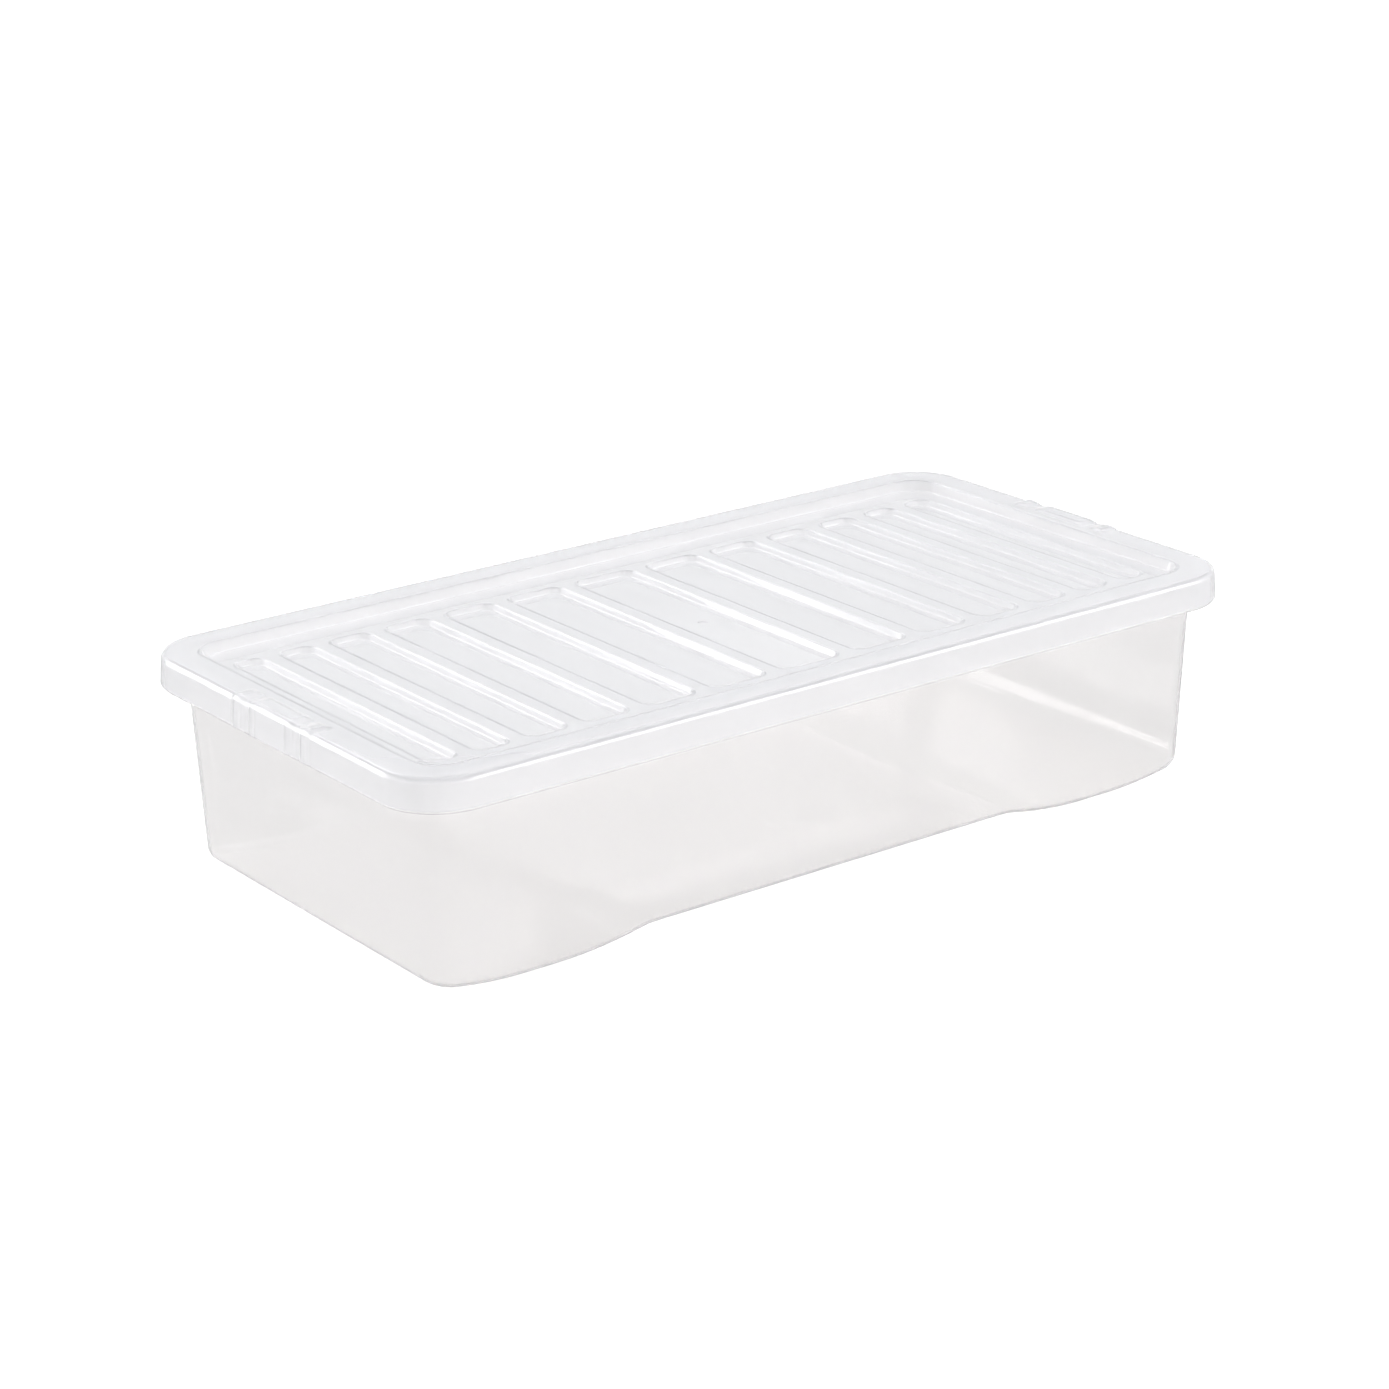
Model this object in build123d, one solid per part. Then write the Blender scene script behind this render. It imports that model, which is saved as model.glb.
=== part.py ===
from build123d import *
import math
import os

os.makedirs("parts", exist_ok=True)

# Under bed storage box: an open tub and a lift-off lid, both injection moulded sheet-like shells.
# Frame: origin at the centre of the footprint on the floor, +X along the length, +Z up.
# All values are millimetres.

# ---- driving dimensions of the lid ----
LID_TOP_Z = 180.0            # flat border of the lid above the floor
LID_HALF_LENGTH = 396.0      # at the top of the skirt
LID_HALF_WIDTH = 198.5
LID_CORNER_RADIUS = 48.0
LID_THICKNESS = 1.8
SKIRT_HEIGHT = 24.0
SKIRT_FLARE = 2.0            # how much wider the skirt is at its lower edge
BORDER_END = 29.0            # width of the flat border at the short ends
BORDER_SIDE = 28.0           # width of the flat border along the long sides
LID_EDGE_RADIUS = 4.5

RECESS_DEPTH = 9.0           # border down to the ledge and the tops of the ribs
RECESS_DRAFT = 2.5           # how far the recess wall leans in over its depth
RECESS_CORNER_RADIUS = 24.0
RECESS_LIP_RADIUS = 1.5

POCKET_COUNT_PER_SIDE = 6    # pockets between the centre pocket and each short end
CENTRE_POCKET_WIDTH = 56.2
POCKET_WIDTH_STEP = 5.3      # each pocket is this much narrower than the one before it
RIB_WIDTH = 15.6
POCKET_HALF_LENGTH = 140.0
POCKET_DEPTH = 5.0
POCKET_DRAFT = 1.5
POCKET_CORNER_RADIUS = 10.0
POCKET_FLOOR_RADIUS = 1.5
GATE_DIMPLE_RADIUS = 4.0
GATE_DIMPLE_DEPTH = 0.5

# ---- thumb grip in the middle of each short end of the lid ----
GRIP_HALF_WIDTH = 57.0
GRIP_RISE = 1.5              # above the border
GRIP_PROUD = 1.0             # outside the skirt
GRIP_LENGTH = 23.0           # from the skirt in towards the recess
GRIP_GROOVE_CENTRE = 35.0
GRIP_GROOVE_HALF_WIDTH = 6.0

# ---- driving dimensions of the tub ----
TUB_BASE_HALF_LENGTH = 370.0
TUB_BASE_HALF_WIDTH = 170.0
TUB_BASE_CORNER_RADIUS = 21.5
TUB_DRAFT_ANGLE = 2.84       # degrees from vertical, all round
TUB_WALL = 2.0
TUB_FLOOR_EDGE_RADIUS = 9.0
FOOT_RISE = 9.4              # the floor between the feet stands this high
FOOT_CENTRE_X = 273.8
FOOT_FLAT_HALF = 12.0        # half the width of the flat strip that stands on the floor
FOOT_ARC_RADIUS = 366.0      # the foot curls up from that strip on both sides
FOOT_BLEND_RADIUS = 60.0

# ---- rolled rim of the tub, under the lid's skirt ----
LID_TO_RIM_GAP = 0.35
RIM_THICKNESS = 2.0
RIM_LIP_BOTTOM_Z = 153.5
RIM_EDGE_RADIUS = 3.2

SKIRT_BOTTOM_Z = LID_TOP_Z - SKIRT_HEIGHT
SKIRT_ANGLE = math.degrees(math.atan2(SKIRT_FLARE, SKIRT_HEIGHT))
RIM_TOP_Z = LID_TOP_Z - LID_THICKNESS - LID_TO_RIM_GAP
CUT_MARGIN = 30.0            # how far a cutting solid runs past what it cuts


def tapered_block(half_length, half_width, corner_radius, bottom_z, height, lean):
    """Upright block with a rounded rectangle base; a positive lean in degrees narrows it upwards."""
    base = Pos(0, 0, bottom_z) * RectangleRounded(2 * half_length, 2 * half_width, corner_radius)
    return extrude(base, amount=height, taper=lean)


def edges_at_height(solid, z, tolerance=0.05):
    """Edges of a solid that lie in the horizontal plane at height z."""
    level = []
    for edge in solid.edges():
        box = edge.bounding_box()
        if abs(box.min.Z - z) < tolerance and abs(box.max.Z - z) < tolerance:
            level.append(edge)
    return level


# ---------------------------------------------------------------- tub

def foot_height(distance):
    """Height of a foot's underside at a distance beyond the end of its flat strip."""
    return FOOT_ARC_RADIUS - math.sqrt(FOOT_ARC_RADIUS ** 2 - distance ** 2)


def underside_profile(raise_by):
    """Closed outline in the XZ plane of all that lies below the tub's floor."""
    flat_start = FOOT_CENTRE_X - FOOT_FLAT_HALF
    flat_end = FOOT_CENTRE_X + FOOT_FLAT_HALF
    radii = FOOT_ARC_RADIUS + FOOT_BLEND_RADIUS
    run = math.sqrt(radii ** 2 - (radii - FOOT_RISE) ** 2)
    blend_x = flat_start - run
    join_run = run * FOOT_ARC_RADIUS / radii
    join_x = flat_start - join_run
    middle_x = (blend_x + join_x) / 2
    middle_drop = FOOT_BLEND_RADIUS - math.sqrt(FOOT_BLEND_RADIUS ** 2 - (middle_x - blend_x) ** 2)
    end_x = TUB_BASE_HALF_LENGTH + CUT_MARGIN
    end_run = end_x - flat_end
    deep_z = -CUT_MARGIN
    with BuildSketch(Plane.XZ) as sketch:
        with BuildLine():
            for side in (1, -1):
                ThreePointArc(
                    (side * blend_x, FOOT_RISE + raise_by),
                    (side * middle_x, FOOT_RISE - middle_drop + raise_by),
                    (side * join_x, foot_height(join_run) + raise_by),
                )
                ThreePointArc(
                    (side * join_x, foot_height(join_run) + raise_by),
                    (side * (flat_start - join_run / 2), foot_height(join_run / 2) + raise_by),
                    (side * flat_start, raise_by),
                )
                Line((side * flat_start, raise_by), (side * flat_end, raise_by))
                ThreePointArc(
                    (side * flat_end, raise_by),
                    (side * (flat_end + end_run / 2), foot_height(end_run / 2) + raise_by),
                    (side * end_x, foot_height(end_run) + raise_by),
                )
                Line((side * end_x, foot_height(end_run) + raise_by), (side * end_x, deep_z))
            Line((-blend_x, FOOT_RISE + raise_by), (blend_x, FOOT_RISE + raise_by))
            Line((-end_x, deep_z), (end_x, deep_z))
        make_face()
    return sketch.sketch


def tub_form(inset, top_z, edge_radius):
    """Solid outer form of the tub, or its inner form when inset by the wall thickness."""
    form = tapered_block(
        TUB_BASE_HALF_LENGTH - inset,
        TUB_BASE_HALF_WIDTH - inset,
        TUB_BASE_CORNER_RADIUS - inset,
        0,
        top_z,
        -TUB_DRAFT_ANGLE,
    )
    below = extrude(underside_profile(inset), amount=TUB_BASE_HALF_WIDTH + CUT_MARGIN, both=True)
    form = form - below
    foot_end = FOOT_CENTRE_X + 2 * FOOT_FLAT_HALF
    perimeter = []
    for edge in form.edges():
        box = edge.bounding_box()
        middle = edge.position_at(0.5)
        low = box.max.Z < FOOT_RISE + inset + 4
        crosses = box.max.Y - box.min.Y > TUB_BASE_HALF_WIDTH and abs(middle.X) < foot_end
        if low and not crosses:
            perimeter.append(edge)
    return fillet(perimeter, edge_radius)


def build_tub():
    lean = SKIRT_ANGLE
    lip_height = RIM_TOP_Z - RIM_LIP_BOTTOM_Z
    drop = SKIRT_BOTTOM_Z - RIM_LIP_BOTTOM_Z
    flare_here = SKIRT_FLARE * (1 + drop / SKIRT_HEIGHT)
    reach = flare_here - LID_THICKNESS - LID_TO_RIM_GAP
    rim = tapered_block(
        LID_HALF_LENGTH + reach,
        LID_HALF_WIDTH + reach,
        LID_CORNER_RADIUS + reach,
        RIM_LIP_BOTTOM_Z,
        lip_height,
        lean,
    )
    rim = fillet(edges_at_height(rim, RIM_TOP_Z), RIM_EDGE_RADIUS)
    under_rim = tapered_block(
        LID_HALF_LENGTH + reach - RIM_THICKNESS,
        LID_HALF_WIDTH + reach - RIM_THICKNESS,
        LID_CORNER_RADIUS + reach - RIM_THICKNESS,
        RIM_LIP_BOTTOM_Z,
        lip_height - RIM_THICKNESS,
        lean,
    )
    outer = tub_form(0, RIM_TOP_Z, TUB_FLOOR_EDGE_RADIUS)
    inner = tub_form(TUB_WALL, RIM_TOP_Z + CUT_MARGIN, TUB_FLOOR_EDGE_RADIUS - TUB_WALL)
    return (rim - under_rim) + outer - inner


# ---------------------------------------------------------------- lid

def pocket_places():
    """Centre and width of each pocket from the middle to one short end."""
    places = [(0.0, CENTRE_POCKET_WIDTH)]
    edge = CENTRE_POCKET_WIDTH / 2
    for number in range(1, POCKET_COUNT_PER_SIDE + 1):
        width = CENTRE_POCKET_WIDTH - POCKET_WIDTH_STEP * number
        centre = edge + RIB_WIDTH + width / 2
        places.append((centre, width))
        places.append((-centre, width))
        edge = centre + width / 2
    return places


def recess_solid(grow, bottom_z):
    """The sunk field inside the border; grow by the lid's thickness to get its underside."""
    draft = math.degrees(math.atan2(RECESS_DRAFT, RECESS_DEPTH))
    solid = tapered_block(
        LID_HALF_LENGTH - BORDER_END - RECESS_DRAFT + grow,
        LID_HALF_WIDTH - BORDER_SIDE - RECESS_DRAFT + grow,
        RECESS_CORNER_RADIUS - RECESS_DRAFT + grow,
        bottom_z,
        RECESS_DEPTH + CUT_MARGIN / 10,
        -draft,
    )
    return fillet(edges_at_height(solid, bottom_z), RECESS_LIP_RADIUS)


def pocket_solid(centre_x, width, grow, bottom_z):
    """One sunk pocket between two ribs."""
    draft = math.degrees(math.atan2(POCKET_DRAFT, POCKET_DEPTH))
    solid = tapered_block(
        width / 2 - POCKET_DRAFT + grow,
        POCKET_HALF_LENGTH - POCKET_DRAFT + grow,
        POCKET_CORNER_RADIUS - POCKET_DRAFT + grow,
        bottom_z,
        POCKET_DEPTH,
        -draft,
    )
    return Pos(centre_x, 0, 0) * fillet(edges_at_height(solid, bottom_z), POCKET_FLOOR_RADIUS)


def grip_pad(end):
    """Raised thumb pad over the edge of the lid, split by two grooves; end is 1 or -1."""
    height = GRIP_RISE + SKIRT_HEIGHT
    pad = Pos(end * (LID_HALF_LENGTH + SKIRT_FLARE + GRIP_PROUD - GRIP_LENGTH / 2), 0, 0) * Box(
        GRIP_LENGTH, 2 * GRIP_HALF_WIDTH, height, align=(Align.CENTER, Align.CENTER, Align.MIN)
    )
    pad = Pos(0, 0, SKIRT_BOTTOM_Z) * pad
    crest = []
    for edge in pad.edges():
        box = edge.bounding_box()
        if box.min.Z > LID_TOP_Z and edge.position_at(0.5).X * end > LID_HALF_LENGTH:
            crest.append(edge)
    pad = fillet(crest, LID_EDGE_RADIUS)
    for side in (1, -1):
        groove = Pos(end * LID_HALF_LENGTH, side * GRIP_GROOVE_CENTRE, LID_TOP_Z) * Box(
            4 * GRIP_LENGTH, 2 * GRIP_GROOVE_HALF_WIDTH, 4 * SKIRT_HEIGHT
        )
        pad = pad - groove
    return pad


def build_lid():
    outer = tapered_block(
        LID_HALF_LENGTH + SKIRT_FLARE,
        LID_HALF_WIDTH + SKIRT_FLARE,
        LID_CORNER_RADIUS + SKIRT_FLARE,
        SKIRT_BOTTOM_Z,
        SKIRT_HEIGHT,
        SKIRT_ANGLE,
    )
    outer = fillet(edges_at_height(outer, LID_TOP_Z), LID_EDGE_RADIUS)
    for end in (1, -1):
        outer = outer + grip_pad(end)
    ledge_z = LID_TOP_Z - RECESS_DEPTH
    pocket_z = ledge_z - POCKET_DEPTH
    under = tapered_block(
        LID_HALF_LENGTH + SKIRT_FLARE - LID_THICKNESS,
        LID_HALF_WIDTH + SKIRT_FLARE - LID_THICKNESS,
        LID_CORNER_RADIUS + SKIRT_FLARE - LID_THICKNESS,
        SKIRT_BOTTOM_Z,
        SKIRT_HEIGHT - LID_THICKNESS,
        SKIRT_ANGLE,
    )
    under = fillet(edges_at_height(under, LID_TOP_Z - LID_THICKNESS), LID_EDGE_RADIUS - LID_THICKNESS)
    under = under - recess_solid(LID_THICKNESS, ledge_z - LID_THICKNESS)
    lid = outer - recess_solid(0, ledge_z)
    for centre_x, width in pocket_places():
        lid = lid - pocket_solid(centre_x, width, 0, pocket_z)
        under = under - pocket_solid(centre_x, width, LID_THICKNESS, pocket_z - LID_THICKNESS)
    dimple = Pos(0, 0, pocket_z - GATE_DIMPLE_DEPTH) * Cylinder(
        GATE_DIMPLE_RADIUS, POCKET_DEPTH, align=(Align.CENTER, Align.CENTER, Align.MIN)
    )
    return lid - under - dimple


for node, solid in (("tub", build_tub()), ("lid", build_lid())):
    box = solid.bounding_box()
    print(node, "solids", len(solid.solids()), "volume", round(solid.volume), "valid", solid.is_valid)
    print("  x", round(box.min.X, 2), round(box.max.X, 2), "y", round(box.min.Y, 2), round(box.max.Y, 2))
    print("  z", round(box.min.Z, 2), round(box.max.Z, 2))
    export_step(solid, os.path.join("parts", node + ".step"))
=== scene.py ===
import math
import bmesh
import bpy
from mathutils import Matrix, Vector
from mathutils.geometry import delaunay_2d_cdt


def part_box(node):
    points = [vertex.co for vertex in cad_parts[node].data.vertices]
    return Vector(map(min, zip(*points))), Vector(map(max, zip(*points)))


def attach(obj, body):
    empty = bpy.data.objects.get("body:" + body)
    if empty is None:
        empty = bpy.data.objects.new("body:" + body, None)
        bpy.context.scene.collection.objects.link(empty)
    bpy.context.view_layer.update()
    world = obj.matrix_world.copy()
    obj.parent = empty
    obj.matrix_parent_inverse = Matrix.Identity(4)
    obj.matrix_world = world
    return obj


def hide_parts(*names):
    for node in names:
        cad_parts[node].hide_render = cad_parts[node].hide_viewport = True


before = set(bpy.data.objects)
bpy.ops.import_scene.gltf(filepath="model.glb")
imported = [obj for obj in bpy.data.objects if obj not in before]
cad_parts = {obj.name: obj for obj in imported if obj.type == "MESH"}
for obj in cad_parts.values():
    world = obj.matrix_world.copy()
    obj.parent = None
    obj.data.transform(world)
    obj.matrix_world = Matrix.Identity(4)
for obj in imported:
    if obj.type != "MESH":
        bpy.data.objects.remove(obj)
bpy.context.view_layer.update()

# Under bed box: a clear polypropylene tub and its lift-off lid.
# Metres throughout, origin at the centre of the footprint on the floor, +X along the length.

tub_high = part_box("tub")[1]
lid_low, lid_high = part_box("lid")

# ---- lid ----
LID_THICKNESS = 0.0018
SKIRT_FLARE = 0.002
GRIP_RISE = 0.0015
GRIP_PROUD = 0.001
LID_TOP_Z = lid_high.z - GRIP_RISE
SKIRT_BOTTOM_Z = lid_low.z
SKIRT_HEIGHT = LID_TOP_Z - SKIRT_BOTTOM_Z
LID_HALF_LENGTH = lid_high.x - GRIP_PROUD - SKIRT_FLARE
LID_HALF_WIDTH = lid_high.y - SKIRT_FLARE
LID_CORNER_RADIUS = 0.048
LID_EDGE_RADIUS = 0.0045       # bend from the border to the skirt, outside
LID_INNER_EDGE_RADIUS = 0.0036  # the same bend on the inside
BORDER_END = 0.029
BORDER_SIDE = 0.028

RECESS_DEPTH = 0.009
RECESS_DRAFT = 0.0025
RECESS_CORNER_RADIUS = 0.024
POCKETS_PER_SIDE = 6
CENTRE_POCKET_WIDTH = 0.0562
POCKET_WIDTH_STEP = 0.0053
RIB_WIDTH = 0.0156
POCKET_HALF_LENGTH = 0.140
POCKET_DEPTH = 0.005
POCKET_DRAFT = 0.0015
POCKET_CORNER_RADIUS = 0.010
LIP_RADIUS = 0.0012          # top edges of the recess, of every pocket and of the tub's mouth
UNDER_LIP_RADIUS = 0.0024    # the same edges on the underside
FLOOR_RADIUS = 0.0012        # bottom edges of the recess and of every pocket
HIDDEN_RADIUS = 0.0005       # inside corners of the underside and the cut lower edges
GATE_RADIUS = 0.004          # dimple left by the mould in the middle pocket
GATE_DEPTH = 0.0005
GATE_EDGE_RADIUS = GATE_DEPTH / 3

# ---- thumb grips on the lid's short ends ----
GRIP_HALF_WIDTH = 0.057
GRIP_LENGTH = 0.023
GRIP_START = LID_HALF_LENGTH + SKIRT_FLARE + GRIP_PROUD - GRIP_LENGTH
GRIP_STEP = 0.006            # length of the slope up on to the pad
GRIP_DIP_CENTRE = 0.035
GRIP_DIP_HALF_WIDTH = 0.006
FLUTE_PLACES = (0.021, 0.0316, 0.0422, 0.0528)
FLUTE_HALF_WIDTH = 0.0018
FLUTE_DEPTH = 0.0004
FLUTE_FADE = (0.75, 0.9)     # shares of the skirt's height where the flutes run out
PAD_FADE = 0.8               # share of the skirt's height where the pad's lift is complete

# ---- tub ----
TUB_WALL = 0.002
TUB_BASE_HALF_LENGTH = 0.370
TUB_BASE_HALF_WIDTH = 0.170
TUB_BASE_CORNER_RADIUS = 0.0215
TUB_LEAN = math.tan(math.radians(2.84))
FLOOR_EDGE_RADIUS = 0.009
FOOT_RISE = 0.0094
FOOT_CENTRE_X = 0.2738
FOOT_FLAT_HALF = 0.012
FOOT_ARC_RADIUS = 0.366
FOOT_BLEND_RADIUS = 0.060
RIM_THICKNESS = 0.002
RIM_EDGE_RADIUS = 0.0032
RIM_TOP_Z = tub_high.z
RIM_LIP_BOTTOM_Z = 0.1535

# ---- how finely the meshes are divided ----
CORNER_STEPS = 16
ARC_STEPS = 8
AIM = 0.01                   # how far outside a section line its aiming points lie
MERGE_DISTANCE = 1e-7        # points closer than this count as one when a flat area is filled
GRIP_SPACING = 0.001
SIDE_SPACING = 0.010


# ------------------------------------------------------------------ mesh building

def spread(low, high, spacing):
    """Evenly spaced values strictly inside a range, about spacing apart."""
    count = max(1, round((high - low) / spacing))
    return [low + (high - low) * i / count for i in range(1, count)]


def outline(half_x, half_y, radius, height, x_stations, y_stations):
    """Closed rounded rectangle, anticlockwise; the stations are points along its straight sides."""
    ring = []
    corners = ((1, -1, -90), (1, 1, 0), (-1, 1, 90), (-1, -1, 180))
    for side_x, side_y, start in corners:
        for step in range(CORNER_STEPS + 1):
            angle = math.radians(start + 90 * step / CORNER_STEPS)
            x = side_x * (half_x - radius) + radius * math.cos(angle)
            y = side_y * (half_y - radius) + radius * math.sin(angle)
            ring.append(Vector((x, y, height)))
        if side_x == side_y:
            ring.extend(Vector((-side_y * x, side_y * half_y, height)) for x in x_stations)
        else:
            ring.extend(Vector((side_x * half_x, side_x * y, height)) for y in y_stations)
    return ring


def circle(radius, height):
    """Round ring about the vertical axis."""
    count = 4 * CORNER_STEPS
    turns = [2 * math.pi * step / count for step in range(count)]
    return [Vector((radius * math.cos(turn), radius * math.sin(turn), height)) for turn in turns]


def rounded_profile(points, radii):
    """Section line with a rounded corner at each inner point; the two end points only aim it."""
    line = []
    for before, corner, after, radius in zip(points, points[1:], points[2:], radii):
        corner = Vector(corner)
        back = (Vector(before) - corner).normalized()
        ahead = (Vector(after) - corner).normalized()
        half_angle = back.angle(ahead) / 2
        centre = corner + (back + ahead).normalized() * radius / math.sin(half_angle)
        reach = radius / math.tan(half_angle)
        start = corner + back * reach - centre
        end = corner + ahead * reach - centre
        sweep = start.angle_signed(end)
        for step in range(ARC_STEPS + 1):
            line.append(centre + Matrix.Rotation(-sweep * step / ARC_STEPS, 2) @ start)
    return line


class Shell:
    """Points and faces of one moulding, built up ring by ring."""

    def __init__(self):
        self.points = []
        self.faces = []

    def add(self, ring):
        """Adds the ring's points and gives back their numbers."""
        start = len(self.points)
        self.points.extend(ring)
        return list(range(start, len(self.points)))

    def bridge(self, first, second):
        """Four-sided faces between two closed rings of the same length."""
        for i in range(len(first)):
            j = (i + 1) % len(first)
            self.faces.append((first[i], first[j], second[j], second[i]))

    def loft(self, rings, start=None):
        """Adds the rings one after another, from an already added one if it's given."""
        last = start
        for ring in rings:
            new = self.add(ring)
            if last is not None:
                self.bridge(last, new)
            last = new
        return last

    def fill(self, outer, holes):
        """Flat area inside one ring and outside the others, which are convex."""
        order = []
        edges = []
        owner = []
        for number, loop in enumerate([outer] + holes):
            start = len(order)
            edges.extend((start + i, start + (i + 1) % len(loop)) for i in range(len(loop)))
            order.extend(loop)
            owner.extend([number] * len(loop))
        flat = [self.points[i].xy for i in order]
        triangles = delaunay_2d_cdt(flat, edges, [], 1, MERGE_DISTANCE)[2]
        for triangle in triangles:
            rings = {owner[i] for i in triangle}
            if len(rings) > 1 or rings == {0}:
                self.faces.append(tuple(order[i] for i in triangle))

    def to_object(self, name, collection):
        """Smooth-shaded object whose flat faces stay flat up to their rounded edges."""
        mesh = bpy.data.meshes.new(name)
        mesh.from_pydata([tuple(p) for p in self.points], [], self.faces)
        work = bmesh.new()
        work.from_mesh(mesh)
        bmesh.ops.recalc_face_normals(work, faces=work.faces)
        if work.calc_volume(signed=True) < 0:
            bmesh.ops.reverse_faces(work, faces=work.faces)
        work.to_mesh(mesh)
        work.free()
        mesh.shade_smooth()
        piece = bpy.data.objects.new(name, mesh)
        collection.objects.link(piece)
        weighted = piece.modifiers.new("Even faces", "WEIGHTED_NORMAL")
        weighted.mode = "FACE_AREA"
        weighted.weight = 100
        weighted.keep_sharp = True
        return piece


def smooth_step(value, start, end):
    """0 before start, 1 after end, and a smooth rise between."""
    t = min(max((value - start) / (end - start), 0.0), 1.0)
    return t * t * (3 - 2 * t)


# ------------------------------------------------------------------ lid

def grip_pad(y):
    """How much of the thumb pad's height there is at a place across the lid, 0 to 1."""
    across = abs(y)
    pad = 1 - smooth_step(across, GRIP_HALF_WIDTH - GRIP_STEP, GRIP_HALF_WIDTH)
    from_dip = abs(across - GRIP_DIP_CENTRE)
    dip = smooth_step(from_dip, GRIP_DIP_HALF_WIDTH - GRIP_STEP, GRIP_DIP_HALF_WIDTH + GRIP_STEP)
    return pad * dip


def grip_flute(y):
    """Depth of the finger flutes at a place across the lid, 0 to 1."""
    depth = 0.0
    for place in FLUTE_PLACES:
        off = abs(abs(y) - place)
        if off < FLUTE_HALF_WIDTH:
            depth = 0.5 + 0.5 * math.cos(math.pi * off / FLUTE_HALF_WIDTH)
    return depth


def with_grips(ring):
    """The ring with the raised pads over the lid's edge and the flutes down its skirt."""
    shaped = []
    for point in ring:
        x, y, z = point
        if abs(x) < GRIP_START or abs(y) > GRIP_HALF_WIDTH:
            shaped.append(point)
            continue
        pad = grip_pad(y)
        side = math.copysign(1, x)
        height = (z - SKIRT_BOTTOM_Z) / SKIRT_HEIGHT
        on_pad = smooth_step(abs(x), GRIP_START, GRIP_START + GRIP_STEP)
        on_skirt = smooth_step(abs(x), LID_HALF_LENGTH - LID_EDGE_RADIUS, LID_HALF_LENGTH)
        flute = grip_flute(y) * on_skirt * (1 - smooth_step(height, *FLUTE_FADE))
        push = GRIP_PROUD * pad * on_skirt - FLUTE_DEPTH * flute
        lift = GRIP_RISE * pad * on_pad * smooth_step(height, 0.0, PAD_FADE)
        shaped.append(Vector((x + side * push, y, z + lift)))
    return shaped


def dish_lines(depth, draft):
    """Section of a sunk dish from its lip to its floor: the top side, and the underside below it.
    Across is measured outwards from the dish's upper outline, and up from the level around it."""
    lean = math.atan2(draft, depth)

    def under(height):
        return ((LID_THICKNESS + height * math.sin(lean)) / math.cos(lean), height)

    top = rounded_profile(
        [(AIM, 0), (0, 0), (-draft, -depth), (-draft - AIM, -depth)],
        [LIP_RADIUS, FLOOR_RADIUS],
    )
    upper = under(-LID_THICKNESS)
    lower = under(-depth - LID_THICKNESS)
    below = rounded_profile(
        [(AIM, upper[1]), upper, lower, (lower[0] - AIM, lower[1])],
        [UNDER_LIP_RADIUS, FLOOR_RADIUS + LID_THICKNESS],
    )
    return top, below


def pocket_places():
    """Centre and width of each pocket, from the middle pocket out to the short ends."""
    places = [(0.0, CENTRE_POCKET_WIDTH)]
    edge = CENTRE_POCKET_WIDTH / 2
    for number in range(1, POCKETS_PER_SIDE + 1):
        width = CENTRE_POCKET_WIDTH - POCKET_WIDTH_STEP * number
        centre = edge + RIB_WIDTH + width / 2
        places.extend([(centre, width), (-centre, width)])
        edge = centre + width / 2
    return places


def section_rings(half_x, half_y, radius, line, level, x_stations, y_stations):
    """One outline for each point of a section line."""
    rings = []
    for across, up in line:
        size = (half_x + across, half_y + across, radius + across)
        rings.append(outline(*size, level + up, x_stations, y_stations))
    return rings


def border_rings(inner, outer):
    """Rings across the lid's flat border, closest together at the start of the thumb pads."""
    start = max(p.x for p in inner)
    end = max(p.x for p in outer)
    rings = []
    for quarters in (0, 1, 2, 3, 4, 8):
        share = (GRIP_START + GRIP_STEP * quarters / 4 - start) / (end - start)
        rings.append([a.lerp(b, share) for a, b in zip(inner, outer)])
    return rings


def add_gate(shell, floor):
    """Round dimple in the floor of the middle pocket; gives the ring around the dimple's bottom."""
    line = rounded_profile(
        [(AIM, 0), (0, 0), (0, -GATE_DEPTH), (-AIM, -GATE_DEPTH)],
        [GATE_EDGE_RADIUS, GATE_EDGE_RADIUS],
    )
    floor_z = LID_TOP_Z - RECESS_DEPTH - POCKET_DEPTH
    rings = [circle(GATE_RADIUS + across, floor_z + up) for across, up in line]
    mouth = shell.add(rings[0])
    shell.fill(floor, [mouth])
    return shell.loft(rings[1:], mouth)


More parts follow.
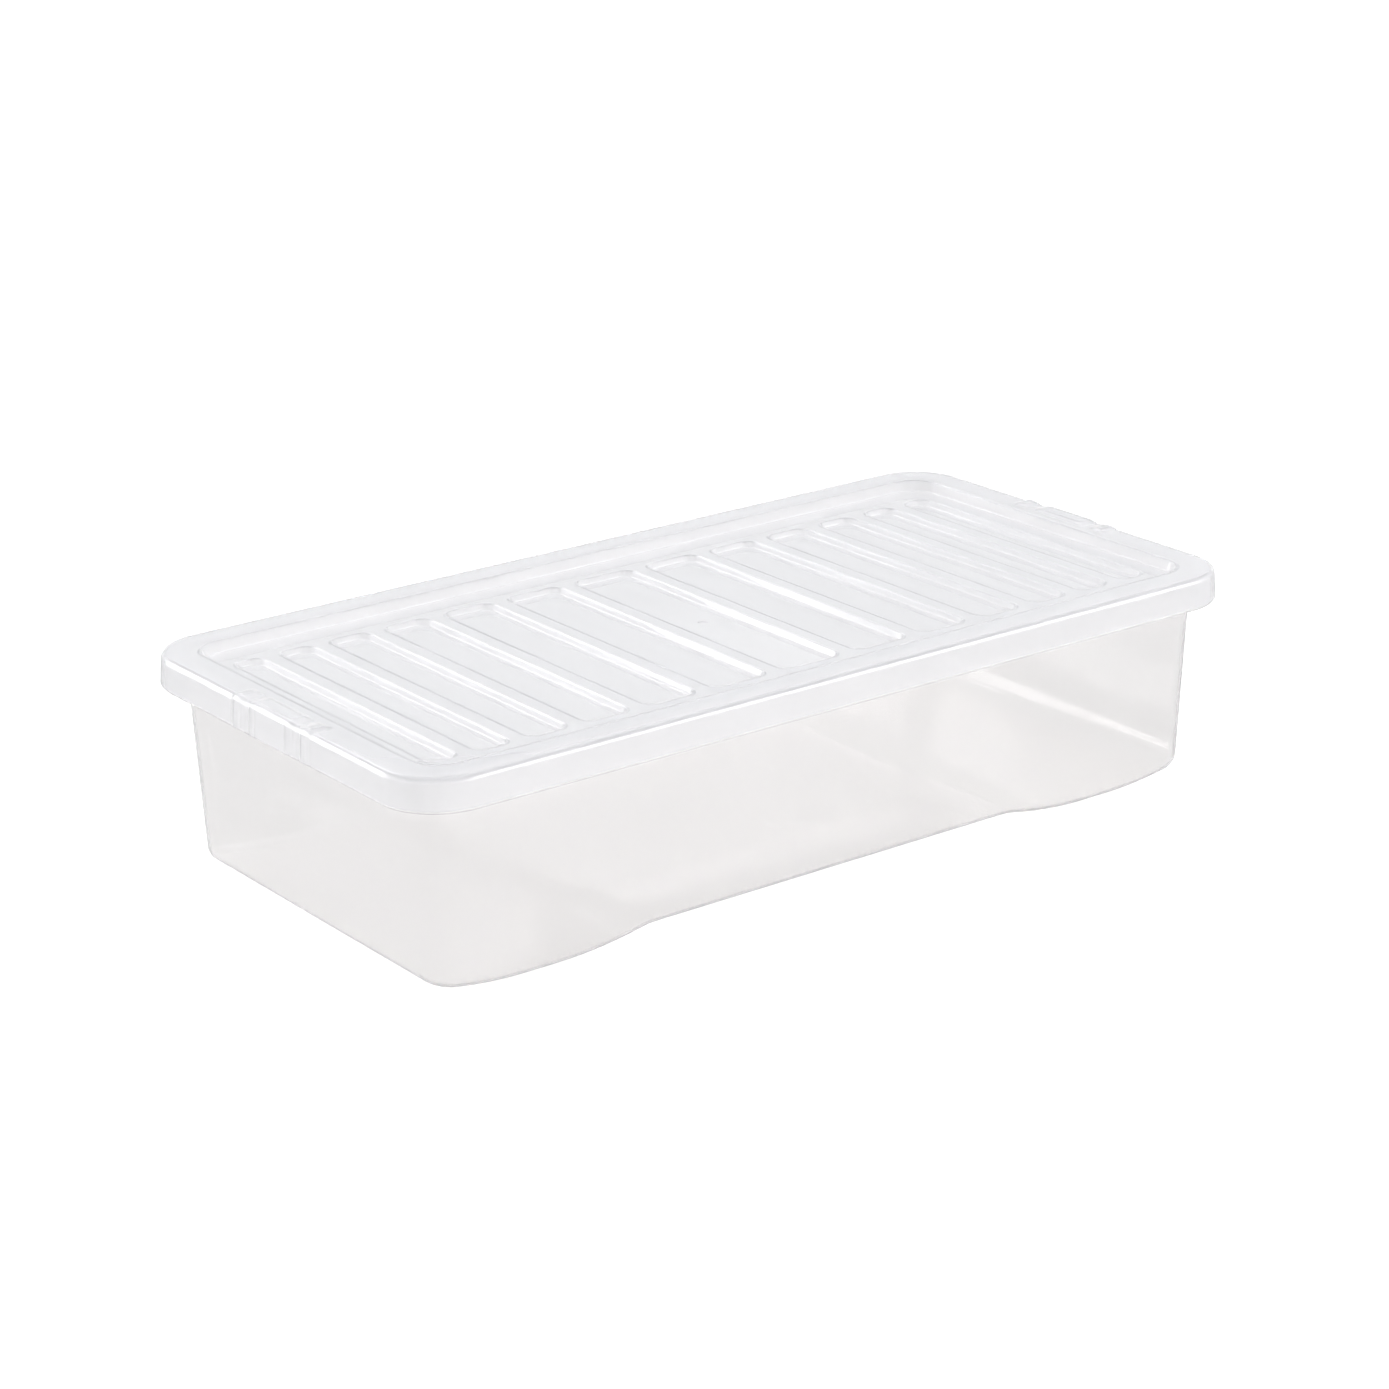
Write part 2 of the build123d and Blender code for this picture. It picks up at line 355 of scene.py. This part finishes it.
def build_lid(collection):
    shell = Shell()
    grip_end = GRIP_HALF_WIDTH + GRIP_SPACING
    y_stations = spread(-grip_end, grip_end, GRIP_SPACING)
    x_stations = spread(-POCKET_HALF_LENGTH, POCKET_HALF_LENGTH, 2 * SIDE_SPACING)
    lean = math.atan2(SKIRT_FLARE, SKIRT_HEIGHT)
    inner_top = (-LID_THICKNESS * (1 - math.sin(lean)) / math.cos(lean), -LID_THICKNESS)
    cut = LID_THICKNESS / math.cos(lean)
    skirt_line = rounded_profile(
        [
            (-LID_CORNER_RADIUS, 0),
            (0, 0),
            (SKIRT_FLARE, -SKIRT_HEIGHT),
            (SKIRT_FLARE - cut, -SKIRT_HEIGHT),
            inner_top,
            (-LID_CORNER_RADIUS, -LID_THICKNESS),
        ],
        [LID_EDGE_RADIUS, HIDDEN_RADIUS, HIDDEN_RADIUS, LID_INNER_EDGE_RADIUS],
    )
    lid_size = (LID_HALF_LENGTH, LID_HALF_WIDTH, LID_CORNER_RADIUS)
    skirt = section_rings(*lid_size, skirt_line, LID_TOP_Z, x_stations, y_stations)
    top_line, under_line = dish_lines(RECESS_DEPTH, RECESS_DRAFT)
    recess_size = (LID_HALF_LENGTH - BORDER_END, LID_HALF_WIDTH - BORDER_SIDE, RECESS_CORNER_RADIUS)
    recess = section_rings(*recess_size, top_line, LID_TOP_Z, x_stations, y_stations)
    recess_under = section_rings(*recess_size, under_line, LID_TOP_Z, x_stations, y_stations)

    lip = shell.add(recess[0])
    border = border_rings(recess[0], skirt[0])
    border_under = border_rings(recess_under[0], skirt[-1])
    around = [with_grips(ring) for ring in border + skirt + border_under[::-1]]
    last = shell.loft(around, lip)
    ledge_under = shell.loft(recess_under, last)
    ledge = shell.loft(recess[1:], lip)

    pocket_top, pocket_under = dish_lines(POCKET_DEPTH, POCKET_DRAFT)
    mouths = []
    mouths_under = []
    for centre, width in pocket_places():
        size = (width / 2, POCKET_HALF_LENGTH, POCKET_CORNER_RADIUS)
        for line, found in ((pocket_top, mouths), (pocket_under, mouths_under)):
            rings = section_rings(*size, line, LID_TOP_Z - RECESS_DEPTH, [], [])
            rings = [[point + Vector((centre, 0, 0)) for point in ring] for ring in rings]
            mouth = shell.add(rings[0])
            found.append(mouth)
            floor = shell.loft(rings[1:], mouth)
            if centre == 0.0 and line is pocket_top:
                floor = add_gate(shell, floor)
            shell.faces.append(tuple(floor))
    shell.fill(ledge, mouths)
    shell.fill(ledge_under, mouths_under)
    return shell.to_object("lid_shell", collection)


# ------------------------------------------------------------------ tub

def foot_height(distance):
    """Height of a foot's underside at a distance beyond the end of its flat strip."""
    return FOOT_ARC_RADIUS - math.sqrt(FOOT_ARC_RADIUS ** 2 - distance ** 2)


def underside_height(x):
    """Height of the tub's underside at a place along its length."""
    along = abs(x)
    if along > FOOT_CENTRE_X:
        return foot_height(max(along - FOOT_CENTRE_X - FOOT_FLAT_HALF, 0.0))
    inward = max(FOOT_CENTRE_X - FOOT_FLAT_HALF - along, 0.0)
    radii = FOOT_ARC_RADIUS + FOOT_BLEND_RADIUS
    run = math.sqrt(radii ** 2 - (radii - FOOT_RISE) ** 2)
    if inward > run:
        return FOOT_RISE
    if inward < run * FOOT_ARC_RADIUS / radii:
        return foot_height(inward)
    return FOOT_RISE - FOOT_BLEND_RADIUS + math.sqrt(FOOT_BLEND_RADIUS ** 2 - (run - inward) ** 2)


def tub_ring(across, height, x_stations):
    """Outline of the tub's wall, so far outside its base outline."""
    return outline(
        TUB_BASE_HALF_LENGTH + across,
        TUB_BASE_HALF_WIDTH + across,
        TUB_BASE_CORNER_RADIUS + across,
        height,
        x_stations,
        [],
    )


def floor_rings(inset, edge_radius, x_stations):
    """Rings from the floor's flat up round its rounded edge to the wall, following the feet."""
    rings = []
    for step in range(ARC_STEPS + 1):
        angle = math.radians(90 * step / ARC_STEPS)
        rise = edge_radius * (1 - math.cos(angle))
        reach = edge_radius * (1 - math.sin(angle))
        ring = tub_ring(-inset - reach, 0, x_stations)
        for point in ring:
            point.z = underside_height(point.x) + inset + rise
            lean = TUB_LEAN * (point.z - inset)
            centre = Vector((
                math.copysign(TUB_BASE_HALF_LENGTH - TUB_BASE_CORNER_RADIUS, point.x),
                math.copysign(TUB_BASE_HALF_WIDTH - TUB_BASE_CORNER_RADIUS, point.y),
                point.z,
            ))
            out = point - centre
            out.x = 0 if abs(point.x) < abs(centre.x) else out.x
            out.y = 0 if abs(point.y) < abs(centre.y) else out.y
            if out.length > 0:
                point.xy += out.normalized().xy * lean
        rings.append(ring)
    return rings


def build_tub(collection):
    shell = Shell()
    straight = TUB_BASE_HALF_LENGTH - TUB_BASE_CORNER_RADIUS
    x_stations = spread(-straight, straight, SIDE_SPACING)
    under_rim_z = RIM_TOP_Z - RIM_THICKNESS
    rim_lean = SKIRT_FLARE / SKIRT_HEIGHT
    rim_height = RIM_TOP_Z - RIM_LIP_BOTTOM_Z
    rim_size = (tub_high.x, tub_high.y, LID_CORNER_RADIUS - (LID_HALF_LENGTH - tub_high.x))

    def wall_line(height, inset):
        return (TUB_LEAN * height - inset, height)

    outer_line = rounded_profile(
        [wall_line(0, 0), wall_line(under_rim_z, 0), (TUB_LEAN * under_rim_z + AIM, under_rim_z)],
        [HIDDEN_RADIUS],
    )
    inner_line = rounded_profile(
        [(AIM, RIM_TOP_Z), wall_line(RIM_TOP_Z, TUB_WALL), wall_line(0, TUB_WALL)],
        [LIP_RADIUS],
    )
    lip_top = -rim_lean * (rim_height - RIM_THICKNESS) - RIM_THICKNESS
    rim_line = rounded_profile(
        [
            (lip_top - AIM, under_rim_z),
            (lip_top, under_rim_z),
            (-RIM_THICKNESS, RIM_LIP_BOTTOM_Z),
            (0, RIM_LIP_BOTTOM_Z),
            (-rim_lean * rim_height, RIM_TOP_Z),
            (-rim_lean * rim_height - AIM, RIM_TOP_Z),
        ],
        [RIM_EDGE_RADIUS - RIM_THICKNESS, HIDDEN_RADIUS, HIDDEN_RADIUS, RIM_EDGE_RADIUS],
    )
    outer_rings = floor_rings(0.0, FLOOR_EDGE_RADIUS, x_stations)
    outer_rings += [tub_ring(across, height, x_stations) for across, height in outer_line]
    rim_rings = section_rings(*rim_size, rim_line, 0, x_stations, [])
    inner_rings = [tub_ring(across, height, x_stations) for across, height in inner_line]
    inner_rings += reversed(floor_rings(TUB_WALL, FLOOR_EDGE_RADIUS - TUB_WALL, x_stations))
    first = shell.add(outer_rings[0])
    last = shell.loft(outer_rings[1:] + rim_rings + inner_rings, first)
    close_floor(shell, first)
    close_floor(shell, last)
    return shell.to_object("tub_shell", collection)


def close_floor(shell, ring):
    """Floor across the width: each point of the front edge is joined to the one behind it."""
    by_front = [i for i in ring if shell.points[i].y < 0]
    by_front.sort(key=lambda i: (round(shell.points[i].x, 6), shell.points[i].y))
    by_back = [i for i in ring if shell.points[i].y > 0]
    by_back.sort(key=lambda i: (round(shell.points[i].x, 6), -shell.points[i].y))
    for (a, b), (c, d) in zip(zip(by_front, by_front[1:]), zip(by_back, by_back[1:])):
        shell.faces.append((a, b, d, c))


# ------------------------------------------------------------------ materials

PLASTIC_IOR = 1.49
CLOUD_SCALE = 9.0            # milky clouds, repeats per metre
GLOSS_SCALE = 45.0           # patches of more and less gloss
GLOSS_SPREAD = (0.7, 1.3)
RIPPLE_SCALE = 14.0          # slow ripple of the moulded faces
PEEL_SCALE = 420.0           # fine peel on top of the ripple
PEEL_SHARE = 0.015           # height of the peel against the ripple's
TUB_TINT = (0.99, 0.983, 0.98)
TUB_CLOUD_TINT = (0.983, 0.975, 0.968)
LID_TINT = (0.992, 0.993, 0.999)
LID_CLOUD_TINT = (0.987, 0.989, 0.996)

FLOOR_COLOUR = (0.755, 0.752, 0.745)
FLOOR_CAMERA_GLOW = 0.55     # keeps the floor white in the picture
FLOOR_PAINTED_SHADE_GLOW = 0.07       # painted shade: floor glow the plastic sees near the box, and painted light further off
FLOOR_PAINTED_LIGHT_GLOW = 0.3
FLOOR_NEAR_DISTANCE = 1.2
FLOOR_FAR_DISTANCE = 2.2


def node(tree, kind, **settings):
    made = tree.nodes.new(kind)
    for name, value in settings.items():
        setattr(made, name, value)
    return made


def noise(tree, coordinates, scale, detail):
    made = node(tree, "ShaderNodeTexNoise")
    made.inputs["Scale"].default_value = scale
    made.inputs["Detail"].default_value = detail
    tree.links.new(coordinates, made.inputs["Vector"])
    return made.outputs["Fac"]


def ranged(tree, value, low, high, start=0.3, end=0.7):
    made = node(tree, "ShaderNodeMapRange")
    made.inputs["From Min"].default_value = start
    made.inputs["From Max"].default_value = end
    made.inputs["To Min"].default_value = low
    made.inputs["To Max"].default_value = high
    tree.links.new(value, made.inputs["Value"])
    return made.outputs["Result"]


def clear_plastic(name, tint, cloud_tint, transmission, roughness, bump_height):
    """Clear polypropylene: faint milky clouds, uneven gloss and a moulded face's fine ripple."""
    material = bpy.data.materials.new(name)
    material.use_nodes = True
    tree = material.node_tree
    shader = tree.nodes["Principled BSDF"]
    place = node(tree, "ShaderNodeTexCoord").outputs["Object"]
    clouds = noise(tree, place, CLOUD_SCALE, detail=3.0)
    mix = node(tree, "ShaderNodeMix", data_type="RGBA")
    tree.links.new(clouds, mix.inputs["Factor"])
    mix.inputs["A"].default_value = (*tint, 1)
    mix.inputs["B"].default_value = (*cloud_tint, 1)
    tree.links.new(mix.outputs["Result"], shader.inputs["Base Color"])
    gloss = noise(tree, place, GLOSS_SCALE, detail=4.0)
    smoothest, roughest = (roughness * share for share in GLOSS_SPREAD)
    tree.links.new(ranged(tree, gloss, smoothest, roughest), shader.inputs["Roughness"])
    ripple = noise(tree, place, RIPPLE_SCALE, detail=1.0)
    peel = noise(tree, place, PEEL_SCALE, detail=2.0)
    heights = node(tree, "ShaderNodeMath", operation="MULTIPLY_ADD")
    tree.links.new(peel, heights.inputs[0])
    heights.inputs[1].default_value = PEEL_SHARE
    tree.links.new(ripple, heights.inputs[2])
    bump = node(tree, "ShaderNodeBump")
    bump.inputs["Strength"].default_value = 1.0
    bump.inputs["Distance"].default_value = bump_height
    tree.links.new(heights.outputs[0], bump.inputs["Height"])
    tree.links.new(bump.outputs["Normal"], shader.inputs["Normal"])
    shader.inputs["Transmission Weight"].default_value = transmission
    shader.inputs["IOR"].default_value = PLASTIC_IOR
    let_lamps_through(tree, shader, tint)
    return material


def let_lamps_through(tree, shader, tint):
    """Light from the lamps passes straight through a clear wall, dimmed by its tint."""
    path = node(tree, "ShaderNodeLightPath")
    clear = node(tree, "ShaderNodeBsdfTransparent")
    clear.inputs["Color"].default_value = (*tint, 1)
    either = node(tree, "ShaderNodeMixShader")
    tree.links.new(path.outputs["Is Shadow Ray"], either.inputs["Fac"])
    tree.links.new(shader.outputs["BSDF"], either.inputs[1])
    tree.links.new(clear.outputs["BSDF"], either.inputs[2])
    tree.links.new(either.outputs["Shader"], tree.nodes["Material Output"].inputs["Surface"])


def pale_floor():
    """Floor that is pure white to the camera, and a little greyer to the plastic, with painted
    shade near the box and painted light further off.
    """
    material = bpy.data.materials.new("pale_floor")
    material.use_nodes = True
    tree = material.node_tree
    shader = tree.nodes["Principled BSDF"]
    shader.inputs["Base Color"].default_value = (*FLOOR_COLOUR, 1)
    shader.inputs["Roughness"].default_value = 0.9
    shader.inputs["Specular IOR Level"].default_value = 0.0
    shader.inputs["Emission Color"].default_value = (1, 1, 1, 1)
    place = node(tree, "ShaderNodeTexCoord").outputs["Object"]
    distance = node(tree, "ShaderNodeVectorMath", operation="LENGTH")
    tree.links.new(place, distance.inputs[0])
    # Painted shade and light: the glow the plastic sees is lowest near the box, standing in for its
    # shade, and rises further off.
    reach = (FLOOR_NEAR_DISTANCE, FLOOR_FAR_DISTANCE)
    painted_shade_and_light = ranged(tree, distance.outputs["Value"], FLOOR_PAINTED_SHADE_GLOW, FLOOR_PAINTED_LIGHT_GLOW, *reach)
    path = node(tree, "ShaderNodeLightPath")
    glow = node(tree, "ShaderNodeMapRange")
    tree.links.new(painted_shade_and_light, glow.inputs["To Min"])
    glow.inputs["To Max"].default_value = FLOOR_CAMERA_GLOW
    tree.links.new(path.outputs["Is Camera Ray"], glow.inputs["Value"])
    tree.links.new(glow.outputs["Result"], shader.inputs["Emission Strength"])
    return material


# ------------------------------------------------------------------ studio

SOFTBOX_DISTANCE = 3.0
FLOOR_SIZE = 60
FLOOR_GAP = 0.001            # keeps the floor's face apart from the feet's
ROOM_BRIGHTNESS = 0.905
HORIZON_COLOUR = (1.15, 1.145, 1.14)
HORIZON_END = 0.05           # upward part of a direction up to which the horizon's colour holds
CEILING_COLOUR = (0.97, 0.975, 1.0)
CEILING_START = 0.25         # and from which the ceiling's does
WHITE = (1, 1, 1)
COOL_WHITE = (0.97, 0.98, 1.0)


def build_softbox(name, direction, colour, size, brightness):
    """Lit panel that faces the object from a direction; its width runs most nearly along X.
    It makes highlights and shows through the plastic, but leaves the soft light to the room."""
    light = bpy.data.lights.new(name, "AREA")
    light.shape = "RECTANGLE"
    light.size, light.size_y = size
    light.energy = brightness * math.pi * size[0] * size[1]
    light.color = colour
    lamp = bpy.data.objects.new(name, light)
    bpy.context.scene.collection.objects.link(lamp)
    outward = Vector(direction).normalized()
    across = (Vector((1, 0, 0)) - outward * outward.x).normalized()
    turn = Matrix((across, outward.cross(across), outward)).transposed().to_4x4()
    lamp.matrix_world = Matrix.Translation(outward * SOFTBOX_DISTANCE) @ turn
    lamp.visible_diffuse = False


def build_studio():
    scene = bpy.context.scene
    bpy.ops.mesh.primitive_plane_add(size=FLOOR_SIZE, location=(0, 0, -FLOOR_GAP))
    floor = bpy.context.object
    floor.name = "studio_floor"
    floor.data.materials.append(pale_floor())

    world = bpy.data.worlds.new("studio")
    scene.world = world
    world.use_nodes = True
    tree = world.node_tree
    background = tree.nodes["Background"]
    direction = node(tree, "ShaderNodeTexCoord").outputs["Generated"]
    parts = node(tree, "ShaderNodeSeparateXYZ")
    tree.links.new(direction, parts.inputs["Vector"])
    sky = node(tree, "ShaderNodeValToRGB")
    tree.links.new(parts.outputs["Z"], sky.inputs["Fac"])
    sky.color_ramp.elements[0].color = (*HORIZON_COLOUR, 1)
    sky.color_ramp.elements[0].position = HORIZON_END
    sky.color_ramp.elements[1].color = (*CEILING_COLOUR, 1)
    sky.color_ramp.elements[1].position = CEILING_START
    tree.links.new(sky.outputs["Color"], background.inputs["Color"])
    background.inputs["Strength"].default_value = ROOM_BRIGHTNESS
    build_softbox("front_softbox", (0.54, -0.69, 0.48), WHITE, size=(1.3, 1.2), brightness=7.0)
    build_softbox("back_softbox", (0.10, 0.74, 0.66), COOL_WHITE, size=(0.7, 0.4), brightness=3.5)
    build_softbox("left_softbox", (-0.47, 0.755, 0.45), WHITE, size=(1.1, 0.7), brightness=5.0)
    build_softbox("low_softbox", (-0.67, 0.74, 0.065), WHITE, size=(1.2, 0.39), brightness=10.0)

    scene.view_settings.view_transform = "Standard"
    scene.cycles.use_denoising = True
    scene.cycles.max_bounces = 32
    scene.cycles.transmission_bounces = 24
    scene.cycles.transparent_max_bounces = 24
    scene.cycles.glossy_bounces = 24
    scene.cycles.diffuse_bounces = 8
    scene.cycles.caustics_refractive = True
    scene.cycles.caustics_reflective = True


CAMERA_PLACE = Vector((-1.6285, -2.1750, 1.0717))
CAMERA_YAW = math.radians(36.664)      # clockwise from +Y, seen from above
CAMERA_PITCH = math.radians(19.572)    # below the horizon
CAMERA_ROLL = math.radians(-0.8955)
CAMERA_LENS = 93.567


def build_camera():
    level = Vector((math.sin(CAMERA_YAW), math.cos(CAMERA_YAW), 0))
    right = Vector((math.cos(CAMERA_YAW), -math.sin(CAMERA_YAW), 0))
    up = Vector((0, 0, 1))
    forward = level * math.cos(CAMERA_PITCH) - up * math.sin(CAMERA_PITCH)
    above = level * math.sin(CAMERA_PITCH) + up * math.cos(CAMERA_PITCH)
    side = right * math.cos(CAMERA_ROLL) + above * math.sin(CAMERA_ROLL)
    top = above * math.cos(CAMERA_ROLL) - right * math.sin(CAMERA_ROLL)
    camera = bpy.data.objects.new("camera", bpy.data.cameras.new("camera"))
    bpy.context.scene.collection.objects.link(camera)
    turn = Matrix((side, top, -forward)).transposed().to_4x4()
    camera.matrix_world = Matrix.Translation(CAMERA_PLACE) @ turn
    camera.data.lens = CAMERA_LENS
    camera.data.clip_end = 100
    bpy.context.scene.camera = camera


# ------------------------------------------------------------------ the object

collection = bpy.context.scene.collection
tub_plastic = clear_plastic(
    "clear_tub", TUB_TINT, TUB_CLOUD_TINT, transmission=0.86, roughness=0.05, bump_height=0.00012
)
lid_plastic = clear_plastic(
    "clear_lid", LID_TINT, LID_CLOUD_TINT, transmission=0.70, roughness=0.06, bump_height=0.0001
)

lid = build_lid(collection)
lid.data.materials.append(lid_plastic)
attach(lid, "lid")
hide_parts("lid")

tub = build_tub(collection)
tub.data.materials.append(tub_plastic)
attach(tub, "tub")
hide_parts("tub")

build_studio()
build_camera()
